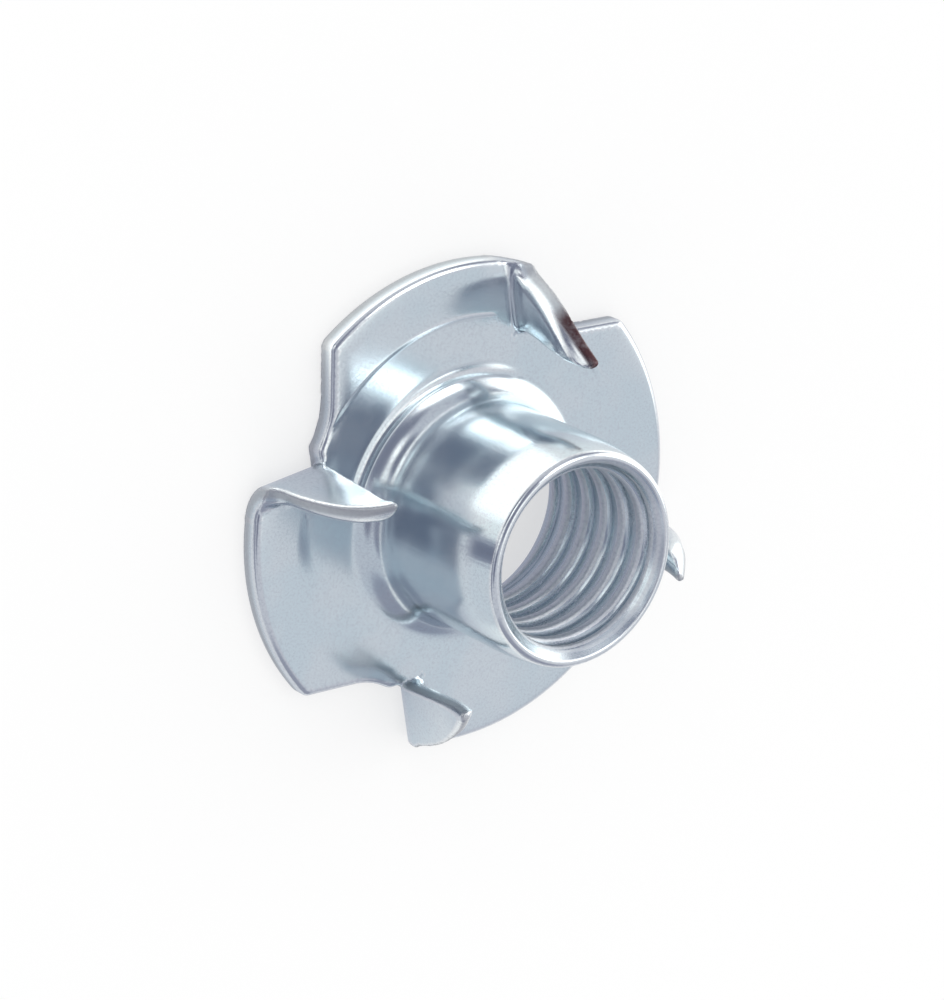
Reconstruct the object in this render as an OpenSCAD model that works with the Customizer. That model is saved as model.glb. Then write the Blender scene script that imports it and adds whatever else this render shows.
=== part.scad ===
// Four-prong tee nut for an M8 bolt, drawn and folded from one piece of steel sheet.
// The flange's back face lies on z = 0 and the barrel rises along +Z.

/* [Flange] */
// Diameter of the round flange
flange_d = 22; // [20:0.1:26]
// Thickness of the steel sheet
sheet = 1.0; // [0.8:0.05:1.2]
// Rounding that the press leaves on the rim's front edge
rim_round = 0.35; // [0.1:0.05:0.45]
// Rounding of the rim's back edge
burr_round = 0.1; // [0.05:0.05:0.3]
// Diameter of the ring pressed into the flange's front face
press_ring_d = 17.2; // [16:0.1:18]
// How far the face inside that ring is set down
press_depth = 0.06; // [0.02:0.01:0.15]

/* [Barrel] */
// Outer diameter of the barrel
barrel_d = 10; // [9.6:0.1:10.4]
// Height of the barrel's mouth above the flange's back face
barrel_h = 9.2; // [8:0.1:14]
// Diameter of the bore, which the shallow M8 thread is cut into
bore_d = 7.6; // [7.2:0.05:7.8]
// Radius of the fillet where the barrel meets the flange's front face
root_round = 1.3; // [0.8:0.1:1.6]
// Height of the low bead that the die leaves round that fillet
root_bead = 0.12; // [0.05:0.01:0.2]
// Radius of the drawn entry at the back of the bore
entry_round = 2.8; // [2:0.1:3]
// Length of the nose that curves in towards the mouth
nose_length = 2.5; // [1.5:0.1:3]
// How far the nose has come in from the barrel's side at its lip
nose_drop = 0.25; // [0.1:0.05:0.5]
// Rounding of the lip's outer edge
lip_round = 0.22; // [0.1:0.02:0.3]
// Width of the lip between the nose and the countersink
lip_w = 0.32; // [0.26:0.02:0.5]
// Angle between the countersink's side and the bore's axis
mouth_angle = 45; // [30:1:60]

/* [Prongs] */
// Heights of the prongs' tips above the flange's back face, one for each prong
tip_heights = [6.2, 5.65, 6.75, 6.3]; // [5.5:0.05:8]
// Width of the blade where it leaves the fold
blade_w = 2.6; // [2.2:0.05:3]
// How far the blade's outer edge stands in from the rim, where it leaves the fold
prong_inset = 0.35; // [0.2:0.05:0.5]
// How far the tip's inner corner lies in from the rim, along the fold
tip_reach = 3.3; // [3:0.1:3.6]
// Width of the blunt tip
tip_w = 0.5; // [0.3:0.05:0.8]
// Radius that rounds the tip
tip_round = 1.2; // [1:0.1:2]
// Radius of the arched outer edge
edge_round = 7; // [6:0.5:12]
// Angle by which the sheared edge draws in towards the blade's front face
edge_angle = 14; // [0:1:18]
// Radius of the web between the flange's front face and the blade's outer edge
web_round = 1.2; // [0.9:0.1:1.5]
// Inner radius of the fold
fold_round = 0.3; // [0.2:0.05:0.8]
// Angles through which the prongs are folded up, one for each prong
fold_angles = [98, 91, 98, 101]; // [90:1:102]
// Angle between the fold line and the radius through its outer end
fold_skew = 25; // [15:1:28]
// Height at which the blade starts to curl back
curl_from = 3.9; // [3.2:0.1:4.6]
// Radius of that curl, on the blade's back face
curl_round = 5.4; // [3:0.1:8]

/* [Notches] */
// Distance from the rim to the notch's inner corner, along the fold
notch_depth = 3.35; // [3.35:0.05:3.8]
// How far that corner reaches into the fold
notch_reach = 0.7; // [0.3:0.1:1]
// Angle of flange taken out beside each prong, measured at the rim
notch_angle = 34; // [28:1:38]
// Radius of the notch's inner corner
notch_round = 3; // [1:0.1:3]

/* [Hidden] */
$fn = 96;
// Cuts run past the faces they open by this much
over = 1;
// Each fold runs into the flange by this much, and its bend by this angle
seam = 0.05;
lap_angle = 1;
// The curl's arc, before the tip is cut
curl_angle = 45;

flange_r = flange_d / 2;
barrel_r = barrel_d / 2;
bore_r = bore_d / 2;
lip_r = barrel_r - nose_drop;
mouth_r = lip_r - lip_w;
mouth_depth = (mouth_r - bore_r) / tan(mouth_angle);
face_z = sheet - press_depth;
root_r = barrel_r + root_round;
nose_z = barrel_h - nose_length;

// The nose is an arc that leaves the barrel's side without a corner and
// reaches the lip's radius where the lip's own rounding begins.
nose_rise = nose_length - lip_round;
nose_arc = (nose_rise * nose_rise + nose_drop * nose_drop) / (2 * nose_drop);

// A prong is worked out in its fold's own frame: x runs out along the fold line
// and is 0 at the rim, y runs from the prong's back face into the flange.
bend_r = fold_round + sheet;
through_l = max(tip_heights);
root_out = -prong_inset;
root_in = root_out - blade_w;
blade_foot = sheet + seam + web_round;
web_reach = edge_round + web_round;
// The fold's outer end meets the rim where its seam does.
fold_end = rim_point(fold_skew + asin((bend_r + seam) / flange_r - sin(fold_skew)));
end_dir = unit(fold_end);

// The notch opens from its inner corner along the fold and along the cut.
notch_in = [-notch_depth, notch_reach];
fold_dir = [1, 0];
cut_dir = unit(rim_point(-notch_angle) - notch_in);
notch_open = acos(fold_dir * cut_dir);
corner_c = notch_in + unit(fold_dir + cut_dir) * notch_round / sin(notch_open / 2);
corner_run = notch_round / tan(notch_open / 2);

function unit(v) = v / norm(v);
// The tip's outer corner, for a tip at this height.
function tip_out(tip_h) = [-tip_reach + tip_w, tip_h];
// The outer edge is an arc from the blade's foot to the tip; this is its centre.
function edge_c(tip_h) = let (
    chord = tip_out(tip_h) - [root_out, blade_foot],
    sag = sqrt(edge_round * edge_round - chord * chord / 4)
) tip_out(tip_h) - chord / 2 + sag * unit([-chord[1], chord[0]]);
// The web is an arc that touches the outer edge and runs out at the flange's front face.
function web_c(tip_h) = let (
    rise = blade_foot - edge_c(tip_h)[1]
) [edge_c(tip_h)[0] + sqrt(web_reach * web_reach - rise * rise), blade_foot];
function web_touch(tip_h) =
    edge_c(tip_h) + (web_c(tip_h) - edge_c(tip_h)) * edge_round / web_reach;
// The rim's point at an angle from the fold's outer end, in the fold's frame.
function rim_point(angle) = let (
    from_fold = flange_r * [cos(angle) - 1, sin(angle)]
) [
    from_fold[0] * cos(fold_skew) + from_fold[1] * sin(fold_skew),
    from_fold[1] * cos(fold_skew) - from_fold[0] * sin(fold_skew)
];

// The flange's half section, its front edge rolled over more than its back edge.
module flange_section() {
    square([flange_r - rim_round, sheet]);
    translate([0, burr_round]) square([flange_r, sheet - rim_round - burr_round]);
    translate([flange_r - rim_round, sheet - rim_round]) circle(rim_round);
    translate([flange_r - burr_round, burr_round]) circle(burr_round);
    square([flange_r - burr_round, burr_round]);
}

// The fillet between barrel and flange, inside the die's low bead.
module root_section() {
    difference() {
        translate([0, sheet / 2]) square([root_r, sheet / 2 + root_round]);
        translate([root_r, sheet + root_round]) circle(root_round);
    }
    translate([root_r, face_z - sheet / 2]) square([root_bead, sheet / 2]);
    translate([root_r, sheet - root_bead]) circle(root_bead);
}

// The barrel's wall as far as the lip, its nose curving in at the top.
module barrel_section() {
    square([barrel_r, nose_z]);
    intersection() {
        translate([0, nose_z]) square([barrel_r, nose_rise]);
        translate([barrel_r - nose_arc, nose_z]) circle(nose_arc);
    }
    translate([0, barrel_h - lip_round]) square([lip_r - lip_round, lip_round]);
    translate([lip_r - lip_round, barrel_h - lip_round]) circle(lip_round);
}

// What the bore takes out: the rounded entry, the wall and the countersink.
module bore_section() {
    translate([0, -over]) square([bore_r, barrel_h + 2 * over]);
    difference() {
        translate([0, -over]) square([bore_r + entry_round, entry_round + over]);
        translate([bore_r + entry_round, entry_round]) circle(entry_round);
    }
    translate([0, barrel_h - mouth_depth])
        polygon([[0, 0], [bore_r, 0], [mouth_r, mouth_depth], [mouth_r, mouth_depth + over],
            [0, mouth_depth + over]]);
}

// Half of the round body's section, before the flange is notched.
module body_section() {
    difference() {
        union() {
            difference() {
                flange_section();
                translate([0, face_z]) square([press_ring_d / 2, over]);
            }
            root_section();
            barrel_section();
        }
        bore_section();
    }
}

// Places its children in the frame of one fold.
module at_fold(i) {
    rotate(i * 360 / len(fold_angles)) translate([flange_r, 0]) rotate(fold_skew) children();
}

// The flange that one prong was cut from, and the strip that its fold takes up.
module notch_plan() {
    polygon([
        corner_c,
        notch_in + fold_dir * corner_run,
        [over * 3, notch_reach],
        [over * 3, -flange_r],
        notch_in + cut_dir * flange_r,
        notch_in + cut_dir * corner_run
    ]);
    translate(corner_c) circle(notch_round);
    translate([root_in, -over]) square([over * 3 - root_in, over + bend_r]);
}

// A ring's sector between two angles, less than half a turn apart.
module arc_band(inner, outer, from, to) {
    reach = outer / cos((to - from) / 2) + over;
    intersection() {
        difference() {
            circle(outer);
            circle(inner);
        }
        polygon([[0, 0], reach * [cos(from), sin(from)],
            reach * [cos((from + to) / 2), sin((from + to) / 2)],
            reach * [cos(to), sin(to)]]);
    }
}

// The sheet's side view across a fold: flange, bend, straight blade, and a curl
// that is drawn longer than the blade needs.
module blade_section(fold_angle) {
    past = fold_angle - 90;
    blade_l = (curl_from - bend_r) / cos(past);
    translate([bend_r, 0]) square([seam, sheet]);
    translate([bend_r, bend_r]) {
        arc_band(fold_round, bend_r, 270 - fold_angle, 270 + lap_angle);
        rotate(-past) {
            translate([-bend_r, 0]) square([sheet, blade_l]);
            translate([-bend_r - curl_round, blade_l])
                arc_band(curl_round, curl_round + sheet, 0, curl_angle);
        }
    }
}

// The folded strip of sheet, wider than the prong on both sides.
module strip(fold_angle) {
    translate([root_in - over, 0]) rotate([90, 0, 90])
        linear_extrude(height = blade_w + 3 * over) blade_section(fold_angle);
}

// Its children's outline, as seen square on to the fold, right through the strip.
module through() {
    translate([0, through_l / 2]) rotate([90, 0, 0])
        linear_extrude(height = through_l) children();
}

// The same, turned to follow the sheared outer edge.
module sheared() {
    rotate(edge_angle) through() children();
}

// The fold, its outer end cut along the rim's chord and swept up into the blade's outer edge.
module fold(fold_angle, tip_h) {
    fold_h = web_touch(tip_h)[1];
    intersection() {
        strip(fold_angle);
        translate([0, 0, -over]) linear_extrude(height = over + fold_h) polygon([
            [root_in, -over], -over * end_dir, fold_end + over * end_dir, [root_in, bend_r + over]
        ]);
        sheared() difference() {
            translate([root_in - over, -over])
                square([web_c(tip_h)[0] - root_in + 2 * over, fold_h + over]);
            translate(web_c(tip_h)) circle(web_round);
        }
    }
}

// The blade above the fold, between its arched outer edge and its straight inner one.
module blade(fold_angle, tip_h) {
    tip_in = [-tip_reach, tip_h];
    tip_c = tip_out(tip_h) - [0, tip_round];
    intersection() {
        strip(fold_angle);
        sheared() translate(edge_c(tip_h)) circle(edge_round, $fn = 180);
        through() polygon([[root_in, bend_r], tip_in, tip_in + [over, 0], [over, bend_r]]);
        sheared() {
            translate([root_in - over, 0]) square([blade_w + 3 * over, tip_c[1]]);
            translate(tip_c) circle(tip_round);
        }
    }
}

module tee_nut() {
    color("lightsteelblue") {
        difference() {
            rotate_extrude() body_section();
            translate([0, 0, -over]) linear_extrude(height = sheet + 2 * over)
                for (i = [0 : len(fold_angles) - 1]) at_fold(i) notch_plan();
        }
        for (i = [0 : len(fold_angles) - 1]) at_fold(i) {
            fold(fold_angles[i], tip_heights[i]);
            blade(fold_angles[i], tip_heights[i]);
        }
    }
}

tee_nut();
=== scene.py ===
import math

import bpy
import mathutils
import numpy as np
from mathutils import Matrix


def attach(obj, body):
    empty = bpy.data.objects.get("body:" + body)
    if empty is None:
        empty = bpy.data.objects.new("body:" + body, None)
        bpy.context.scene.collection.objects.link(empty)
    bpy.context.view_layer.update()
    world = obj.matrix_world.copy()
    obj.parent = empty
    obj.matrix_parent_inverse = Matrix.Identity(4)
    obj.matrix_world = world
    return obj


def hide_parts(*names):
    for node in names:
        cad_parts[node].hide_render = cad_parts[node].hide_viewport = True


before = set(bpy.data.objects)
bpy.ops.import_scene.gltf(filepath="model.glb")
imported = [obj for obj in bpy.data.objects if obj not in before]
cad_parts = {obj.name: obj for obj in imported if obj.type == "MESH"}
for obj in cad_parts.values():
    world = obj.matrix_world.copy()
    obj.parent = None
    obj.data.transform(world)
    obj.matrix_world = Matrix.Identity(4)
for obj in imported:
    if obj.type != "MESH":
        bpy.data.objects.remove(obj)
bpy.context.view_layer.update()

MM = 0.001

# ------------------------------------ sizes: lengths in mm, and angles in degrees or radians

FAR = 9.0                          # a distance well clear of any surface

FLANGE_R = 11.0
SHEET = 1.0
DIE_ROLL = 0.1                     # how far the press drags a cut edge's front down
DIE_ROLL_W = 1.0                   # and how far from the edge that starts
RIM_ROLL = 0.25                    # the rim's front and back edges are rounded to these
BURR_ROLL = 0.1
RING_R = 8.6                       # the pressed ring: lower inside this radius
FACE_Z = 0.94
RING_STEP = (0.12, 0.7)            # half the step's width, where it is crisp and where it is faint
RING_AT = math.radians(-60)        # it is crisp on this side, and turns faint over these angles
RING_FADE = np.radians((60, 95))
BEAD_R = 6.15                      # the die's low bead round the root fillet, and its half widths
BEAD_IN = 0.4
BEAD_OUT = 0.25
BEAD_H = 0.12
BEAD_AT = math.radians(-47)        # it stands highest here, and fades away over these angles
BEAD_FADE = np.radians((34.1, 62))

BARREL_R = 5.0
BARREL_H = 9.2
ROOT_ROUND = 1.3
NOSE_Z = 6.7                       # where the barrel starts to curve in, to the lip's radius
LIP_R = 4.75
LIP_ROUND = 0.22
MOUTH_R = 4.43                     # the chamfered mouth, and the rounded entry at the back
MOUTH_SLOPE = 45.0
ENTRY_ROUND = 2.8
BORE_SOFT = 0.08                   # how softly the bore meets its mouth and its entry

PITCH = 1.25
MINOR_R = 3.8
MAJOR_R = 4.05
THREAD_AT = 0.2                    # the height of phase 0 at angle 0
THREAD_START = (1.4, 2.2)          # the heights between which the thread grows to its full depth
THREAD_END = 8.3                   # up to where the mesh's rows follow it
STEEP_FLANK = 0.25                 # the shares of a turn that its steep flank and the whole groove
GROOVE_SHARE = 0.86                # take, and the share of the flank that lies past phase 0
FLANK_PAST = 0.05
RUN_OUT = 0.14                     # how deep it still is where it runs out in the mouth's chamfer,
RUN_OUT_FADE = (0.1, 0.5)          # and the depths below the lip between which that fades in

# One value for each prong.
FOLD_ANGLES = (98.0, 91.0, 98.0, 101.0)
FOLD_SKEW = 25.0                   # how far the fold lines are turned out of the radial direction
FOLD_IN = 0.3                      # the bend's radius on the inside, and on the outside
BEND_R = FOLD_IN + SHEET
FLAT_L = 0.3                       # how far the strip's flat end reaches past the bend
ROOT_IN = -2.95                    # the blade's inner and outer side where it leaves the bend
ROOT_OUT = -0.35
FOOT_Z = 2.25                      # the height and the radius of the web at its outer foot
WEB_R = 1.2
TIP_H = (6.2, 5.65, 6.75, 6.3)
TIP_IN = -3.3
TIP_OUT = -2.8
TIP_ROUND = 1.2                    # the tip's outer corner, and its inner one
TIP_BLUNT = (0.35, 0.12, 0.12, 0.2)
EDGE_R = 7.0                       # the outer edge bulges in this arc, and is cut at a slant
SHEAR = 14.0
CURL_FROM = 3.9
CURL_R = 5.4
EDGE_ROLL = 0.4                    # the front edges' rounding, which grows from the rim's to this
EDGE_ROLL_Z = (1.0, 2.5)           # between these heights, and over this length to that at the tip
TIP_ROLL_L = 1.6
TIP_ROLL = (0.85, 0.6, 0.6, 0.5)
TIP_BURR = 0.22                    # what the tip adds to the back edges' rounding, between these
TIP_BURR_L = (2.2, 0.4)            # depths below it

NOTCH_IN = np.array((-3.35, 0.7))
NOTCH_ANGLE = 34.0
NOTCH_ROUND = 3.0
CUT_SOFT = 0.15                    # how softly the notches and folds meet the rim's outline

# In a fold's frame, where the pressed ring is left out: this far inside the fold's inner end,
# and between these distances past the bend.
PAD_IN = 0.9
PAD_PAST = (0.3, 1.2)
# And where the blade's inner side is blended into the flange: how much, over x and over y.
BLEND = 0.3
BLEND_X = (-4.2, -3.4, -2.9, -2.2)
BLEND_Y = (-0.15, 0.25)


# ------------------------------------------------- distance fields, negative inside

def unit(v):
    """The vector's direction, with length 1."""
    return np.asarray(v, float) / np.linalg.norm(v)


def cut_round(a, b, r):
    """Intersection of two fields, with the edge between them rounded to radius r."""
    return np.minimum(np.maximum(a, b), -r) + np.hypot(np.maximum(a + r, 0), np.maximum(b + r, 0))


def join_round(a, b, r):
    """Union of two fields, with a fillet of radius r in the corner between them."""
    return np.maximum(np.minimum(a, b), r) - np.hypot(np.maximum(r - a, 0), np.maximum(r - b, 0))


def join_soft(a, b, k):
    """Union of two fields, blended over a width k, which may vary from point to point."""
    k = np.maximum(k, 1e-6)
    t = np.clip(0.5 + 0.5 * (b - a) / k, 0, 1)
    return b + (a - b) * t - k * t * (1 - t)


def ramp(x, lo, hi):
    """A smooth rise from 0 at lo to 1 at hi."""
    t = np.clip((x - lo) / (hi - lo), 0, 1)
    return t * t * (3 - 2 * t)


def window(x, rise, full, fall, end):
    """A smooth rise from 0 to 1 between the first two values, and back between the last two."""
    return ramp(x, rise, full) * ramp(-x, -end, -fall)


def turn(x, y, degrees):
    """The point as seen from axes that are turned by an angle."""
    c, s = math.cos(math.radians(degrees)), math.sin(math.radians(degrees))
    return c * x + s * y, c * y - s * x


def rim_point(angle):
    """The rim's point at an angle from the fold's outer end, in the fold's frame."""
    a = math.radians(angle)
    x, y = turn(FLANGE_R * (math.cos(a) - 1), FLANGE_R * math.sin(a), FOLD_SKEW)
    return np.array((x, y))


def to_fold(x, y, i):
    """The frame of fold i: x out along the fold line, y from the blade's back into the flange."""
    u, v = turn(x, y, 360.0 * i / len(FOLD_ANGLES))
    return turn(u - FLANGE_R, v, FOLD_SKEW)


# The notch opens from its inner corner along the fold and along the cut, whose normal
# points into the next lobe.
CUT_DIR = unit(rim_point(-NOTCH_ANGLE) - NOTCH_IN)
CUT_OUT = np.array((CUT_DIR[1], -CUT_DIR[0]))

# The blade's foot ends on the rim, along a chord from the fold line's outer end to the bend's.
fold_end = rim_point(FOLD_SKEW + math.degrees(
    math.asin(BEND_R / FLANGE_R - math.sin(math.radians(FOLD_SKEW)))))
END_OUT = unit((fold_end[1], -fold_end[0]))


def notch_gap(fx, fy):
    """Plan of one notch: negative where the flange is cut away."""
    along_fold = fy - NOTCH_IN[1]
    along_cut = (fx - NOTCH_IN[0]) * CUT_OUT[0] + (fy - NOTCH_IN[1]) * CUT_OUT[1]
    return cut_round(along_fold, along_cut, NOTCH_ROUND)


def angle_from(x, y, middle):
    """How far round the axis a point is from an angle, either way."""
    return np.abs((np.arctan2(y, x) - middle + math.pi) % (2 * math.pi) - math.pi)


def front_face(x, y, z, r, raised):
    """Above the flange's front face and outside the barrel, with the fillet between them."""
    faint = ramp(angle_from(x, y, RING_AT), *RING_FADE)
    step = RING_STEP[0] + (RING_STEP[1] - RING_STEP[0]) * faint
    up = np.maximum(raised, ramp(r, RING_R - step, RING_R + step))
    face = z - (FACE_Z + (SHEET - FACE_Z) * up)
    nose_h = BARREL_H - LIP_ROUND - NOSE_Z
    drop = BARREL_R - LIP_R
    nose_arc = (nose_h ** 2 + drop ** 2) / (2 * drop)
    nose = np.hypot(r - (BARREL_R - nose_arc), z - NOSE_Z) - nose_arc
    side = np.where(z > NOSE_Z, nose, r - BARREL_R)
    barrel = cut_round(side, z - BARREL_H, LIP_ROUND)
    bead = (BEAD_H * (1 - ramp(angle_from(x, y, BEAD_AT), *BEAD_FADE))
            * np.exp(-((r - BEAD_R) / np.where(r < BEAD_R, BEAD_IN, BEAD_OUT)) ** 2))
    return np.minimum(join_round(face, barrel, ROOT_ROUND), face - bead)


def thread_phase(x, y, z):
    """Turns from the nearest thread flank that faces the mouth, from -0.5 to 0.5."""
    return ((z - THREAD_AT) / PITCH - np.arctan2(y, x) / (2 * math.pi) + 0.5) % 1.0 - 0.5


def bore(x, y, z, r):
    """What the bore takes out, with a shallow right-hand thread rolled into its wall."""
    turns = thread_phase(x, y, z)
    share = (turns + STEEP_FLANK - FLANK_PAST) % 1.0
    long_flank = np.clip((GROOVE_SHARE - share) / (GROOVE_SHARE - STEEP_FLANK), 0, 1)
    groove = np.minimum(ramp(share, 0.0, STEEP_FLANK), long_flank) * ramp(z, *THREAD_START)
    wall_r = MINOR_R + (MAJOR_R - MINOR_R) * groove
    wall = r - wall_r
    slope = math.radians(MOUTH_SLOPE)
    run_out = RUN_OUT * groove * ramp(BARREL_H - z, *RUN_OUT_FADE)
    mouth = (r - MOUTH_R - run_out) * math.cos(slope) - (z - BARREL_H) * math.sin(slope)
    entry = ENTRY_ROUND - np.hypot(r - wall_r - ENTRY_ROUND, z - ENTRY_ROUND)
    in_entry = (z < ENTRY_ROUND) & (r < wall_r + ENTRY_ROUND)
    return join_soft(join_soft(wall, mouth, BORE_SOFT), np.where(in_entry, entry, wall), BORE_SOFT)


def blade_outline(fx, fy, z, i):
    """Outline of prong i as seen square on to its fold: negative within it."""
    tip_out = np.array((TIP_OUT, TIP_H[i]))
    chord = tip_out - (ROOT_OUT, FOOT_Z)
    edge_c = (tip_out - chord / 2
              + math.sqrt(EDGE_R ** 2 - chord @ chord / 4) * unit((-chord[1], chord[0])))
    web_x = edge_c[0] + math.sqrt((EDGE_R + WEB_R) ** 2 - (FOOT_Z - edge_c[1]) ** 2)
    web_dir = unit(np.array((web_x, FOOT_Z)) - edge_c)
    tip_c = tip_out - (0, TIP_ROUND)
    lean = unit((TIP_IN - ROOT_IN, TIP_H[i] - BEND_R))

    sx, _ = turn(fx, fy, SHEAR)
    web = WEB_R - np.hypot(sx - web_x, z - FOOT_Z)
    edge = np.hypot(sx - edge_c[0], z - edge_c[1]) - EDGE_R
    above = (sx - edge_c[0]) * -web_dir[1] + (z - edge_c[1]) * web_dir[0] > 0
    rim = fx * END_OUT[0] + fy * END_OUT[1]
    foot = np.maximum(np.where(z > FOOT_Z - WEB_R, web, -FAR), rim)
    tip = np.where((sx > tip_c[0]) & (z > tip_c[1]),
                   np.hypot(sx - tip_c[0], z - tip_c[1]) - TIP_ROUND, z - TIP_H[i])
    outer = np.maximum(np.where(above, edge, foot), tip)
    inner = np.where(z > BEND_R, (z - BEND_R) * lean[0] - (fx - ROOT_IN) * lean[1], ROOT_IN - fx)
    return cut_round(outer, inner, TIP_BLUNT[i])


def blade_faces(fy, z, angle):
    """How far points lie behind a folded strip's back face, and in front of its front face."""
    past = math.radians(angle - 90)
    dy, dz = fy - BEND_R, z - BEND_R
    rho = np.hypot(dy, dz)
    up = dy * math.sin(past) + dz * math.cos(past)
    back = -dy * math.cos(past) + dz * math.sin(past)
    blade_l = (CURL_FROM - BEND_R) / math.cos(past)
    rc = np.hypot(up - blade_l, back - BEND_R - CURL_R)
    flat = (up < 0) & (dy > 0)
    bend = (up < 0) & ~flat
    curl = up > blade_l
    behind = np.select([flat, bend, curl], [-z, rho - BEND_R, CURL_R - rc], back - BEND_R)
    before = np.select([flat, bend, curl], [z - SHEET, FOLD_IN - rho, rc - CURL_R - SHEET],
                       FOLD_IN - back)
    return behind, before


def die_roll(outline):
    """The press drags the front face down towards every cut edge."""
    return DIE_ROLL * np.clip(1 + outline / DIE_ROLL_W, 0, 1) ** 2


def prong(fx, fy, z, i):
    """Prong i with its fold: its field, its outline's, and how deep the point lies in the sheet."""
    outline = blade_outline(fx, fy, z, i)
    behind, before = blade_faces(fy, z, FOLD_ANGLES[i])
    depth = -before
    before = before + die_roll(outline)
    roll = (RIM_ROLL + (EDGE_ROLL - RIM_ROLL) * ramp(z, *EDGE_ROLL_Z)
            + (TIP_ROLL[i] - EDGE_ROLL) * ramp(z, TIP_H[i] - TIP_ROLL_L, TIP_H[i]))
    burr = BURR_ROLL + TIP_BURR * ramp(z, TIP_H[i] - TIP_BURR_L[0], TIP_H[i] - TIP_BURR_L[1])
    rolled = np.maximum(cut_round(before, outline, roll), cut_round(behind, outline, burr))
    return np.maximum(rolled, fy - BEND_R - FLAT_L), outline, depth


def nut_zones(p):
    """The nut's field at points p in mm, the nearest cut outline's field, and the sheet's depth."""
    x, y, z = p[..., 0], p[..., 1], p[..., 2]
    r = np.hypot(x, y)
    edge = plan = r - FLANGE_R
    raised = 0
    blades = (FAR + 0 * r, FAR + 0 * r, 0 * r, 0 * r)
    for i in range(len(FOLD_ANGLES)):
        fx, fy = to_fold(x, y, i)
        pad = ramp(fx, ROOT_IN - PAD_IN, ROOT_IN)
        raised = np.maximum(raised, pad * ramp(-fy, -BEND_R - PAD_PAST[1], -BEND_R - PAD_PAST[0]))
        gap = notch_gap(fx, fy)
        folded_up = np.maximum(ROOT_IN - fx, fy - BEND_R + RIM_ROLL)
        edge = cut_round(edge, -gap, CUT_SOFT)
        plan = cut_round(plan, -join_soft(gap, folded_up, CUT_SOFT), CUT_SOFT)
        blend = BLEND * window(fx, *BLEND_X) * ramp(BEND_R - fy, *BLEND_Y)
        new = (*prong(fx, fy, z, i), blend)
        nearest = new[0] < blades[0]
        blades = [np.where(nearest, ours, theirs) for ours, theirs in zip(new, blades)]
    blade, outline, depth, blend = blades
    rolled = front_face(x, y, z, r, raised) + die_roll(edge)
    body = np.maximum(cut_round(rolled, plan, RIM_ROLL), cut_round(-z, plan, BURR_ROLL))
    in_blade = blade < body
    whole = np.maximum(join_soft(body, blade, blend), -bore(x, y, z, r))
    return whole, np.where(in_blade, outline, plan), np.where(in_blade, depth, SHEET - z)


def nut(p):
    """The nut's field alone."""
    return nut_zones(p)[0]


def gradient(field, p, e=0.01):
    """The direction in which a field grows, taken over a distance e."""
    g = np.empty_like(p)
    for a in range(3):
        step = np.zeros(3)
        step[a] = e
        g[:, a] = (field(p + step) - field(p - step)) / (2 * e)
    return g


def from_round(q):
    """Points from radius, angle and height."""
    return np.stack((q[..., 0] * np.cos(q[..., 1]), q[..., 0] * np.sin(q[..., 1]), q[..., 2]), -1)


def surface_net(field, axes):
    """One vertex in each cell of a round grid that the surface crosses, joined into quads."""
    turn_cells = len(axes[1]) - 1                    # its last angle closes the turn
    value = np.empty([len(axis) for axis in axes])
    for k, z in enumerate(axes[2]):
        level = np.stack(np.meshgrid(axes[0], axes[1], [z], indexing="ij"), -1)[:, :, 0]
        value[:, :, k] = field(from_round(level))
    value[:, -1] = value[:, 0]
    cells = (len(axes[0]) - 1, turn_cells, len(axes[2]) - 1)
    total = np.zeros((int(np.prod(cells)), 4))
    quads = []
    for a in range(3):
        b, c = (a + 1) % 3, (a + 2) % 3
        low, high = ([slice(None), slice(turn_cells), slice(None)] for _ in range(2))
        low[a], high[a] = slice(None, -1), slice(1, None)
        f0, f1 = value[tuple(low)], value[tuple(high)]
        e = np.argwhere((f0 < 0) != (f1 < 0))
        v0, v1 = f0[tuple(e.T)], f1[tuple(e.T)]
        at = np.stack([axis[e[:, k]] for k, axis in enumerate(axes)], 1)
        at[:, a] += (axes[a][e[:, a] + 1] - at[:, a]) * v0 / (v0 - v1)
        ring = []
        for db, dc in ((0, 0), (-1, 0), (-1, -1), (0, -1)):
            cell = e.copy()
            cell[:, b] += db
            cell[:, c] += dc
            cell[:, 1] %= turn_cells
            flat = np.ravel_multi_index(tuple(cell.T), cells)
            np.add.at(total, flat, np.c_[from_round(at), np.ones(len(at))])
            ring.append(flat)
        ring = np.stack(ring, 1)
        flip = v0 > 0
        ring[flip] = ring[flip][:, ::-1]
        quads.append(ring)
    quads = np.concatenate(quads)
    used = np.flatnonzero(total[:, 3])
    where = np.full(len(total), -1)
    where[used] = np.arange(len(used))
    return total[used, :3] / total[used, 3:], where[quads]


def round_grid():
    """Rings centred on the pressed ring, angles closer together at the prongs, and even heights."""
    radii = RING_R + RADIUS_STEP * (RINGS + 0.5)
    quarter = 360.0 / len(FOLD_ANGLES)
    prong_arc = np.linspace(PRONG_FROM, PRONG_TO, FINE_STEPS + 1)[:-1]
    plain_arc = np.linspace(PRONG_TO, quarter + PRONG_FROM, PLAIN_STEPS + 1)[:-1]
    angles = [quarter * i + arc for i in range(len(FOLD_ANGLES)) for arc in (prong_arc, plain_arc)]
    angles = np.radians(np.append(np.concatenate(angles), 360.0 + PRONG_FROM))
    return radii, angles, HEIGHT_STEP * LEVELS


def follow_thread(p):
    """Slides the bore's vertices up or down a little, so that their rows follow the helix."""
    steps = thread_phase(p[:, 0], p[:, 1], p[:, 2]) * PITCH / HEIGHT_STEP
    in_bore = ((np.hypot(p[:, 0], p[:, 1]) < MAJOR_R + 0.1)
               & (p[:, 2] > THREAD_START[1]) & (p[:, 2] < THREAD_END))
    p = p.copy()
    p[:, 2] += np.where(in_bore, (np.round(steps) - steps) * HEIGHT_STEP, 0)
    return p


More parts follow.
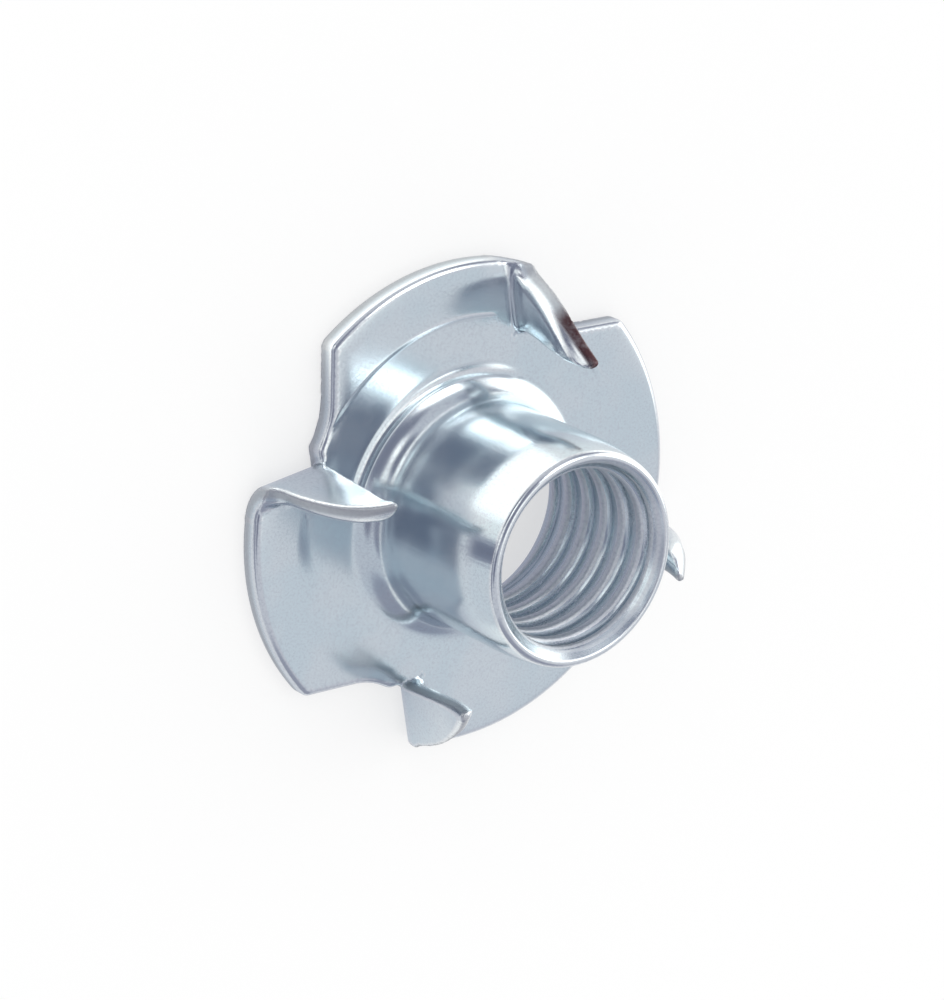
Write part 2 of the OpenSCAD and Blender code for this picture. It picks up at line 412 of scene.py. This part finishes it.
def settle(field, p, h, rounds=4):
    """Moves points on to the surface, each no further than 0.7 of the grid's step h."""
    start = p.copy()
    for _ in range(rounds):
        g = gradient(field, p)
        step = (field(p) / np.maximum((g * g).sum(1), 0.2))[:, None] * g
        p = p - np.clip(step, -0.3 * h, 0.3 * h)
        p = start + np.clip(p - start, -0.7 * h, 0.7 * h)
    return p


def bend_of(field, p, e):
    """How sharply the surface bends, per mm: above 0 on outer edges, below 0 in inner corners."""
    total = -6 * field(p)
    for step in e * np.vstack((np.eye(3), -np.eye(3))):
        total += field(p + step)
    return total / e ** 2


def soft_spots(p):
    """1 in the folds' inner bends, and at the root fillet's foot where the bead is absent."""
    x, y, z = p[:, 0], p[:, 1], p[:, 2]
    r = np.hypot(x, y)
    soft = (ramp(angle_from(x, y, BEAD_AT), *SOFT_FROM)
            * window(r, *SOFT_FOOT_R) * ramp(-z, -SOFT_FOOT_Z[1], -SOFT_FOOT_Z[0]))
    for i in range(len(FOLD_ANGLES)):
        fx, fy = to_fold(x, y, i)
        off_bend = np.abs(fy - FOLD_IN - SHEET / 2)
        bend = (window(fx, *SOFT_BEND_X) * window(z, *SOFT_BEND_Z)
                * ramp(-off_bend, -SOFT_BEND_OFF[1], -SOFT_BEND_OFF[0]))
        soft = np.maximum(soft, bend)
    return soft


def new_object(name, data):
    obj = bpy.data.objects.new(name, data)
    bpy.context.scene.collection.objects.link(obj)
    return obj


def make_mesh(name, points, faces, normals, layers):
    """A smooth mesh with its own normals, and a layer of numbers for each thing that varies."""
    mesh = bpy.data.meshes.new(name)
    mesh.from_pydata((points * MM).tolist(), [], faces.tolist())
    mesh.shade_smooth()
    mesh.normals_split_custom_set_from_vertices(normals.tolist())
    for layer, values in layers.items():
        attribute = mesh.attributes.new(layer, "FLOAT", "POINT")
        attribute.data.foreach_set("value", values.astype(np.float32))
    return mesh


# The grid: its rings, counted from the pressed ring, its levels, and in each quarter more
# steps where a prong stands.
RADIUS_STEP = 0.14
RINGS = np.arange(-37, 20)
HEIGHT_STEP = PITCH / 9
LEVELS = np.arange(-2, 69)
PRONG_FROM, PRONG_TO = -16.0, 9.0     # the angles, from its fold, that a prong stands between
FINE_STEPS = 42
PLAIN_STEPS = 46
MOST_FACES = 100000

# Where the normals are smoothed: round the fillet's foot, and in the folds' inner bends.
SOFT_FROM = np.radians((55.8, 80.6))
SOFT_FOOT_R = (5.2, 5.7, 6.6, 7.4)
SOFT_FOOT_Z = (1.6, 2.4)
SOFT_BEND_X = (ROOT_IN - 0.2, ROOT_IN + 0.3, -1.1, -0.7)
SOFT_BEND_Z = (0.7, 0.9, 1.4, 2.0)
SOFT_BEND_OFF = (0.7, 1.2)
# The distances over which normals are taken: everywhere, near cut edges, and at those places.
NORMAL_E = 0.06
EDGE_E = 0.12
SOFT_E = 0.3

# One prong's torn tip is painted dark brown: the angle it stands at, how far the dark brown reaches
# to either side in radians, and the heights between which it sets in.
DARK_TIP_AT = math.radians(-90)
DARK_TIP_HALF = (0.3, 0.4)
DARK_TIP_Z = (3.7, 4.6)

points, faces = surface_net(nut, round_grid())
points = settle(nut, follow_thread(points), RADIUS_STEP)
points[:, 2] = np.maximum(points[:, 2], 0)
_, outline, depth = nut_zones(points)
by_edge = ramp(outline, -0.6, -0.3)
normals = gradient(nut, points, NORMAL_E)
for blur, share in ((EDGE_E, by_edge), (SOFT_E, soft_spots(points))):
    normals += (gradient(nut, points, blur) - normals) * share[:, None]
normals /= np.maximum(np.linalg.norm(normals, axis=1, keepdims=True), 1e-9)
# The whole of a cut edge is sheared, and its back half is also torn.
on_cut = ramp(outline, -0.12, -0.02)
dark_tip_zone = ((1 - ramp(angle_from(points[:, 0], points[:, 1], DARK_TIP_AT), *DARK_TIP_HALF))
           * ramp(points[:, 2], *DARK_TIP_Z))
layers = {
    "torn": on_cut * ramp(depth, SHEET * 0.42, SHEET * 0.62) * ramp(SHEET - depth, 0.0, 0.1),
    "sheared": on_cut,
    "dark_tip": ramp(outline, -0.3, -0.05) * ramp(depth, 0.3, 0.5) * dark_tip_zone,
    "bend": np.clip(bend_of(nut, points, 0.1) / 4, -1, 1),
}
part = new_object("tee_nut_steel", make_mesh("tee_nut_steel", points, faces, normals, layers))
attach(part, "root")
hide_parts("tee_nut")
assert len(faces) < MOST_FACES, len(faces)


# ---------------------------------------------------------------- materials

class Nodes:
    """Builds a shader tree, with a number or a socket for every input."""

    def __init__(self, tree):
        self.tree = tree
        tree.nodes.clear()

    def add(self, kind, **settings):
        node = self.tree.nodes.new(kind)
        for key, value in settings.items():
            setattr(node, key, value)
        return node

    def feed(self, node, name, value):
        if isinstance(value, bpy.types.NodeSocket):
            self.tree.links.new(value, node.inputs[name])
        else:
            node.inputs[name].default_value = value

    def math(self, operation, a, b=0.0):
        node = self.add("ShaderNodeMath", operation=operation)
        self.feed(node, 0, a)
        self.feed(node, 1, b)
        return node.outputs[0]

    def ramp(self, value, low, high, to_low=0.0, to_high=1.0):
        node = self.add("ShaderNodeMapRange", interpolation_type="SMOOTHSTEP")
        for name, given in (("Value", value), ("From Min", low), ("From Max", high),
                            ("To Min", to_low), ("To Max", to_high)):
            self.feed(node, name, given)
        return node.outputs["Result"]

    def radius(self, x, y):
        return self.math("SQRT", self.math("ADD", self.math("MULTIPLY", x, x),
                                           self.math("MULTIPLY", y, y)))

    def mix(self, amount, a, b):
        """Between two colours."""
        node = self.add("ShaderNodeMix", data_type="RGBA")
        self.feed(node, 0, amount)
        self.feed(node, 6, a)
        self.feed(node, 7, b)
        return node.outputs[2]

    def blend(self, amount, a, b):
        """Between two numbers."""
        node = self.add("ShaderNodeMix", data_type="FLOAT")
        self.feed(node, 0, amount)
        self.feed(node, 2, a)
        self.feed(node, 3, b)
        return node.outputs[0]

    def noise(self, where, scale, detail=3.0, rough=0.5):
        node = self.add("ShaderNodeTexNoise")
        self.feed(node, "Vector", where)
        self.feed(node, "Scale", scale)
        self.feed(node, "Detail", detail)
        self.feed(node, "Roughness", rough)
        return node.outputs["Fac"]

    def layer(self, name):
        return self.add("ShaderNodeAttribute", attribute_name=name).outputs["Fac"]

    def cooled(self, brightness):
        """The colour of light of a brightness: tinted where it is dark, and white from 1 on."""
        node = self.add("ShaderNodeCombineColor")
        dark, bright = self.math("MINIMUM", brightness, 1.0), self.math("MAXIMUM", brightness, 1.0)
        for channel, power in enumerate(COOL):
            self.feed(node, channel, self.math("MULTIPLY", self.math("POWER", dark, power), bright))
        return node.outputs[0]


def new_material(name):
    mat = bpy.data.materials.new(name)
    mat.use_nodes = True
    return mat, Nodes(mat.node_tree)


# The metal's colours: its two blotches, outer edges painted lighter, painted shade for inner
# corners, a painted highlight for the thread's crests, the grain's specks, torn steel and the dark
# brown painted on one tip.
ZINC = ((0.67, 0.77, 0.81, 1), (0.72, 0.79, 0.82, 1))
LIGHTER_EDGE = (0.84, 0.86, 0.87, 1)
CORNER_SHADE = (0.36, 0.40, 0.47, 1)
CREST_HIGHLIGHT = (0.92, 0.94, 0.95, 1)
SPECK = (0.54, 0.565, 0.635, 1)
TORN = (0.42, 0.42, 0.43, 1)
DARK_BROWN = (0.10, 0.05, 0.055, 1)


def zinc_material():
    """Bright zinc plate: soft blotches, grain, drawing streaks, and duller torn edges; outer edges
    painted lighter, painted shade in inner corners, a painted highlight on the thread's crests, and
    one tip painted dark brown.
    """
    mat, n = new_material("zinc_steel")
    where = n.add("ShaderNodeTexCoord").outputs["Object"]
    split = n.add("ShaderNodeSeparateXYZ")
    n.feed(split, 0, where)
    x, y, z = split.outputs
    radius = n.radius(x, y)
    torn, sheared, dark_tip, bend = (n.layer(name) for name in ("torn", "sheared", "dark_tip", "bend"))
    in_bore = n.math("MULTIPLY", n.ramp(radius, 4.5 * MM, 4.3 * MM), n.ramp(z, 0.5 * MM, 2.5 * MM))
    # Painted highlight: the thread's crests in the bore are tinted pale; they are also made
    # rougher.
    highlit_crest = n.math("MULTIPLY", in_bore, n.ramp(bend, 0.04, 0.3))
    # Painted shade: inner corners and grooves are tinted darker, less so in the bore.
    corner_shade = n.math("MULTIPLY", n.ramp(bend, -0.1, -0.6, 0.0, 0.45),
                    n.ramp(in_bore, 0.0, 1.0, 1.0, 0.4))

    blotch = n.noise(where, 350.0, 2.0)
    grain = n.noise(where, 9000.0, 4.0, 0.7)
    # Streaks run up the drawn barrel, so their noise is stretched along the height.
    along = n.add("ShaderNodeCombineXYZ")
    n.feed(along, 0, n.math("MULTIPLY", n.math("ARCTAN2", y, x), BARREL_R * MM))
    n.feed(along, 1, n.math("MULTIPLY", z, 0.04))
    streak = n.noise(along.outputs[0], 4000.0, 4.0, 0.6)
    on_barrel = n.math("MULTIPLY", n.ramp(z, 1.3 * MM, 2.2 * MM),
                       n.ramp(radius, 5.4 * MM, 5.1 * MM))
    streak = n.math("MULTIPLY", n.math("SUBTRACT", streak, 0.5), on_barrel)
    # A torn edge is rough, in ridges.
    ridges = n.noise(where, 2600.0, 3.0, 0.65)

    tint = n.mix(n.ramp(blotch, 0.35, 0.65), *ZINC)
    for amount, colour in (
            # outer edges painted lighter
            (n.ramp(bend, 0.05, 0.5, 0.0, 0.6), LIGHTER_EDGE),
            # painted shade in inner corners
            (corner_shade, CORNER_SHADE),
            # painted highlight on the thread's crests
            (n.math("MULTIPLY", highlit_crest, 0.7), CREST_HIGHLIGHT),
            (n.ramp(grain, 0.45, 0.65, 0.0, 0.34), SPECK),
            (n.math("MULTIPLY", torn, 0.55), TORN),
            # one prong's tip painted dark brown
            (n.math("MULTIPLY", dark_tip, n.ramp(ridges, 0.3, 0.6, 0.8, 1.0)), DARK_BROWN)):
        tint = n.mix(amount, tint, colour)

    rough = n.math("ADD", n.ramp(blotch, 0.3, 0.7, 0.13, 0.19), n.ramp(grain, 0.4, 0.7, 0.0, 0.07))
    for where_rough, more in ((torn, 0.24), (sheared, 0.04), (in_bore, 0.06), (highlit_crest, 0.25)):
        rough = n.math("ADD", rough, n.math("MULTIPLY", where_rough, more))

    height = n.math("MULTIPLY", grain, 0.5)
    for relief, more in ((streak, 1.6), (n.math("MULTIPLY", torn, ridges), 7.0)):
        height = n.math("ADD", height, n.math("MULTIPLY", relief, more))
    bump = n.add("ShaderNodeBump")
    n.feed(bump, "Height", height)
    n.feed(bump, "Strength", 0.5)
    n.feed(bump, "Distance", 0.006 * MM)

    bsdf = n.add("ShaderNodeBsdfPrincipled")
    n.feed(bsdf, "Metallic", 1.0)
    n.feed(bsdf, "Base Color", tint)
    n.feed(bsdf, "Roughness", rough)
    n.feed(bsdf, "Normal", bump.outputs[0])
    n.feed(n.add("ShaderNodeOutputMaterial"), "Surface", bsdf.outputs[0])
    return mat


part.data.materials.append(zinc_material())


# ---------------------------------------------------------------- floor, light, camera

FLOOR_HALF = 0.4                   # in m
FLOOR_Z = -2e-5                    # a hair below the nut's back
FLOOR_GLOW = 0.6                   # how far the floor glows white to the camera, whatever shades it
WHITE = (1, 1, 1, 1)

# The studio as the metal mirrors it, above the floor: the azimuth, elevation and
# radius in degrees of each soft box or flag, and its brightness. Later ones cover earlier ones.
STUDIO_BASE = 0.60
STUDIO = (
    (105, 16, 30, 0.33),
    (30, -2, 24, 0.26),
    (-30, 4, 20, 0.16),
    (-112, 8, 15, 0.30),
    (28, 46, 14, 0.18),
    (-45, 60, 27, 0.21),
    (-4, 29, 11, 1.1),
    (-32, 32, 9, 1.5),
    (168, 52, 22, 0.72),
    (-170, 80, 14, 1.2),
    (-152, 20, 24, 2.1),
    (-108, 51, 13, 3.2),
)
STUDIO_SOFT = 5                    # in degrees, either side of an edge

# Light and shade painted on the floor, seen only in the metal's reflections: patches with the
# azimuth and half width in degrees, from and to a radius in mm, and brightness; and a painted shade
# round the nut.
PATCHES = (
    (45, 30, 13, 80, 0.74),
    (118, 16, 25, 90, 0.45),
    (-84, 22, 33, 90, 0.50),
    (-142, 27, 20, 90, 1.6),
    (-50, 34, 11.5, 32, 1.6),
    (11, 8, 14, 80, 0.20),
)
PATCH_SOFT = 5                     # in degrees and in mm, either side of an edge
PATCH_BLUR = 1.5
SHADE = 0.37                       # its brightness at the bore, which grows to 1 at this radius
SHADE_TO = 18.0
# Dark flags look a little blue and violet: a power for red, green and blue.
COOL = (0.98, 0.95, 0.76)


def studio_world():
    """White light for all but what the metal mirrors, which is the studio."""
    world = bpy.data.worlds.new("studio")
    world.use_nodes = True
    n = Nodes(world.node_tree)
    where = n.add("ShaderNodeTexCoord").outputs["Generated"]
    light = STUDIO_BASE
    for azimuth, elevation, radius, brightness in STUDIO:
        a, e = math.radians(azimuth), math.radians(elevation)
        facing = n.add("ShaderNodeVectorMath", operation="DOT_PRODUCT")
        n.feed(facing, 0, where)
        n.feed(facing, 1, (math.cos(e) * math.cos(a), math.cos(e) * math.sin(a), math.sin(e)))
        inside = n.ramp(facing.outputs["Value"], math.cos(math.radians(radius + STUDIO_SOFT)),
                        math.cos(math.radians(radius - STUDIO_SOFT)))
        light = n.blend(inside, light, brightness)
    path = n.add("ShaderNodeLightPath")
    back = n.add("ShaderNodeBackground")
    n.feed(back, "Color", n.mix(path.outputs["Is Glossy Ray"], WHITE, n.cooled(light)))
    n.feed(n.add("ShaderNodeOutputWorld"), "Surface", back.outputs[0])
    return world


def patchy_floor(n):
    """The light and shade painted on the floor, as the metal mirrors it."""
    split = n.add("ShaderNodeSeparateXYZ")
    n.feed(split, 0, n.add("ShaderNodeTexCoord").outputs["Object"])
    x, y, _ = split.outputs
    radius = n.radius(x, y)
    light = n.ramp(radius, MINOR_R * MM, SHADE_TO * MM, SHADE, 1.0)
    for azimuth, half, inner, outer, brightness in PATCHES:
        a = math.radians(azimuth)
        facing = n.math("DIVIDE", n.math("ADD", n.math("MULTIPLY", x, math.cos(a)),
                                         n.math("MULTIPLY", y, math.sin(a))), radius)
        inside = n.ramp(facing, math.cos(math.radians(half + PATCH_SOFT)),
                        math.cos(math.radians(half - PATCH_SOFT)))
        for edge, way in ((inner, 1), (outer, -1)):
            inside = n.math("MULTIPLY", inside, n.ramp(
                radius, (edge - way * PATCH_BLUR) * MM, (edge + way * PATCH_BLUR) * MM))
        light = n.blend(inside, light, brightness)
    return n.cooled(light)


def floor_material():
    """White to the camera, with part of it shaded, so a shadow shows, and painted with patches of
    light and shade in reflections.
    """
    mat, n = new_material("floor")
    path = n.add("ShaderNodeLightPath")
    mirrored = n.math("MAXIMUM", path.outputs["Is Glossy Ray"], path.outputs["Is Transmission Ray"])
    glow = n.add("ShaderNodeEmission")
    n.feed(glow, "Color", n.mix(path.outputs["Is Glossy Ray"], WHITE, patchy_floor(n)))
    shade = n.add("ShaderNodeBsdfDiffuse")
    n.feed(shade, "Color", WHITE)
    seen = n.math("MULTIPLY", path.outputs["Is Camera Ray"], FLOOR_GLOW)
    mix = n.add("ShaderNodeMixShader")
    n.feed(mix, 0, n.math("MAXIMUM", mirrored, seen))
    n.feed(mix, 1, shade.outputs[0])
    n.feed(mix, 2, glow.outputs[0])
    n.feed(n.add("ShaderNodeOutputMaterial"), "Surface", mix.outputs[0])
    return mat


floor_mesh = bpy.data.meshes.new("floor")
floor_mesh.from_pydata([(FLOOR_HALF * a, FLOOR_HALF * b, FLOOR_Z)
                        for a, b in ((-1, -1), (1, -1), (1, 1), (-1, 1))], [], [(0, 1, 2, 3)])
floor_mesh.materials.append(floor_material())
new_object("floor", floor_mesh)
bpy.context.scene.world = studio_world()

# How the nut lies in front of the camera: turned by a vector in radians, after a spin in
# degrees about its own axis, and shifted in mm. There a mm takes this many pixels.
DISTANCE = 150.0
TURN = (-0.0904890173, 2.46062903, 0.358686999)
SPIN = -6.1
SHIFT = (-0.764323377, 0.00197874207, DISTANCE)
PX_PER_MM = 22.8224364
PICTURE_H = 1000.0
SENSOR = 36.0


def rotation(vec):
    """The matrix that turns about a vector, by its length in radians."""
    angle = float(np.linalg.norm(vec))
    k = np.asarray(vec) / angle
    cross = np.array(((0, -k[2], k[1]), (k[2], 0, -k[0]), (-k[1], k[0], 0)))
    return np.eye(3) + math.sin(angle) * cross + (1 - math.cos(angle)) * cross @ cross


view = rotation(TURN) @ rotation((0, 0, math.radians(SPIN)))
place = -view.T @ np.array(SHIFT) * MM
cam_data = bpy.data.cameras.new("camera")
cam_data.sensor_width = SENSOR
cam_data.lens = PX_PER_MM * DISTANCE * SENSOR / PICTURE_H
cam_data.clip_start = 0.01
camera = new_object("camera", cam_data)
rows = np.stack((view[0], -view[1], -view[2]), 1)      # a camera looks down its own -Z, with +Y up
camera.matrix_world = (mathutils.Matrix.Translation(place.tolist())
                       @ mathutils.Matrix(rows.tolist()).to_4x4())
bpy.context.scene.camera = camera

bpy.context.scene.view_settings.view_transform = "Standard"
